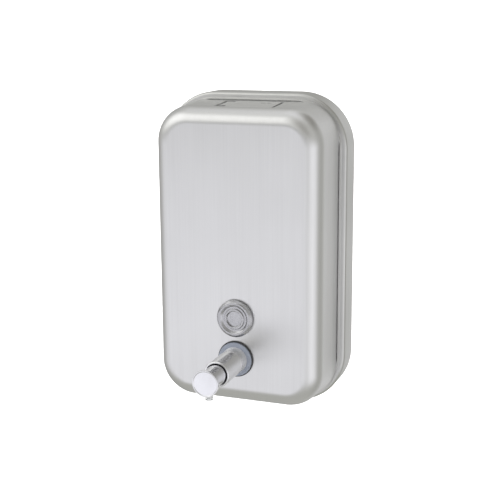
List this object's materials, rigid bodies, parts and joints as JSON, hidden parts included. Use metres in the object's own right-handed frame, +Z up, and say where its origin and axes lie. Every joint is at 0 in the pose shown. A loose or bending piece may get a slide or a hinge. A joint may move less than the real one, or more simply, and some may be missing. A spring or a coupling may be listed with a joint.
{
  "type": "wall mounted soap dispenser",
  "caption": "Upright rounded stainless soap tank on a wall bracket, with a hinged filler lid on top, a round sight window and a push valve low on the front.",
  "frame": {"origin": "middle of the wall bracket's screw pattern, on the wall's surface", "axes": "+X to the right, +Y into the wall, +Z up; the push valve points along -Y"},
  "size_m": [0.125, 0.1058, 0.2078],
  "materials": {
    "front_steel": "fine vertical hairline",
    "rear_steel": "fine hairline",
    "lid_steel": "fine hairline",
    "frame_steel": "plain rolled",
    "bracket_steel": "plain rolled",
    "screw_steel": "turned",
    "clear_plastic": "clear moulded",
    "clear_silicone": "translucent grey",
    "black_rubber": "matt",
    "nut_plastic": "moulded",
    "washer_plastic": "satin blue-grey",
    "barrel_chrome": "satin bright",
    "neck_chrome": "bright",
    "button_chrome": "satin bright",
    "pump_plastic": "moulded",
    "ball_steel": "ground",
    "spout_plastic": "moulded",
    "tip_plastic": "clear moulded",
    "spring_steel": "drawn wire"
  },
  "bodies": {
    "housing": {"front_shell": "front_steel", "rear_shell": "rear_steel", "tank_hanger": "bracket_steel", "wall_bracket": "bracket_steel", "bracket_lock_screw": "screw_steel", "lid_seat_frame": "frame_steel", "lid_hinge_pin": "frame_steel", "sight_window": "clear_plastic", "window_gasket": "clear_silicone", "window_nut": "nut_plastic", "valve_gasket": "black_rubber", "valve_washer": "washer_plastic", "valve_barrel": "barrel_chrome", "valve_inner_gasket": "black_rubber", "valve_nut": "nut_plastic", "valve_cylinder": "pump_plastic", "inlet_cap": "pump_plastic", "return_spring": "spring_steel"},
    "lid": {"filler_lid": "lid_steel", "bolt_guide": "lid_steel"},
    "lid_bolt": {"lid_bolt": "lid_steel"},
    "button": {"push_button": "button_chrome", "plunger_sleeve": "neck_chrome", "plunger_stem": "pump_plastic", "piston": "pump_plastic", "piston_seal": "black_rubber", "outlet_nozzle": "spout_plastic", "nozzle_tip": "tip_plastic"},
    "inlet_ball": {"inlet_ball": "ball_steel"},
    "outlet_ball": {"outlet_ball": "ball_steel"}
  },
  "joints": [
    {"name": "button_push", "type": "slide", "parent": "housing", "child": "button", "axis": [0, 1, 0], "range_m": [0, 0.0085], "stiffness_N_per_m": 400, "springref_m": -0.012, "deforming": ["return_spring"]},
    {"name": "lid_hinge", "type": "hinge", "parent": "housing", "child": "lid", "pos_m": [-0.0145, -0.03399, 0.09533], "axis": [0, -0.9978, -0.066], "range_deg": [0, 100]},
    {"name": "bolt_slide", "type": "slide", "parent": "lid", "child": "lid_bolt", "axis": [1, 0, 0], "range_m": [0, 0.004]},
    {"name": "inlet_ball_lift", "type": "slide", "parent": "housing", "child": "inlet_ball", "axis": [0, -1, 0], "range_m": [0, 0.0006]},
    {"name": "outlet_ball_lift", "type": "slide", "parent": "button", "child": "outlet_ball", "axis": [0, -1, 0], "range_m": [0, 0.0009]}
  ]
}
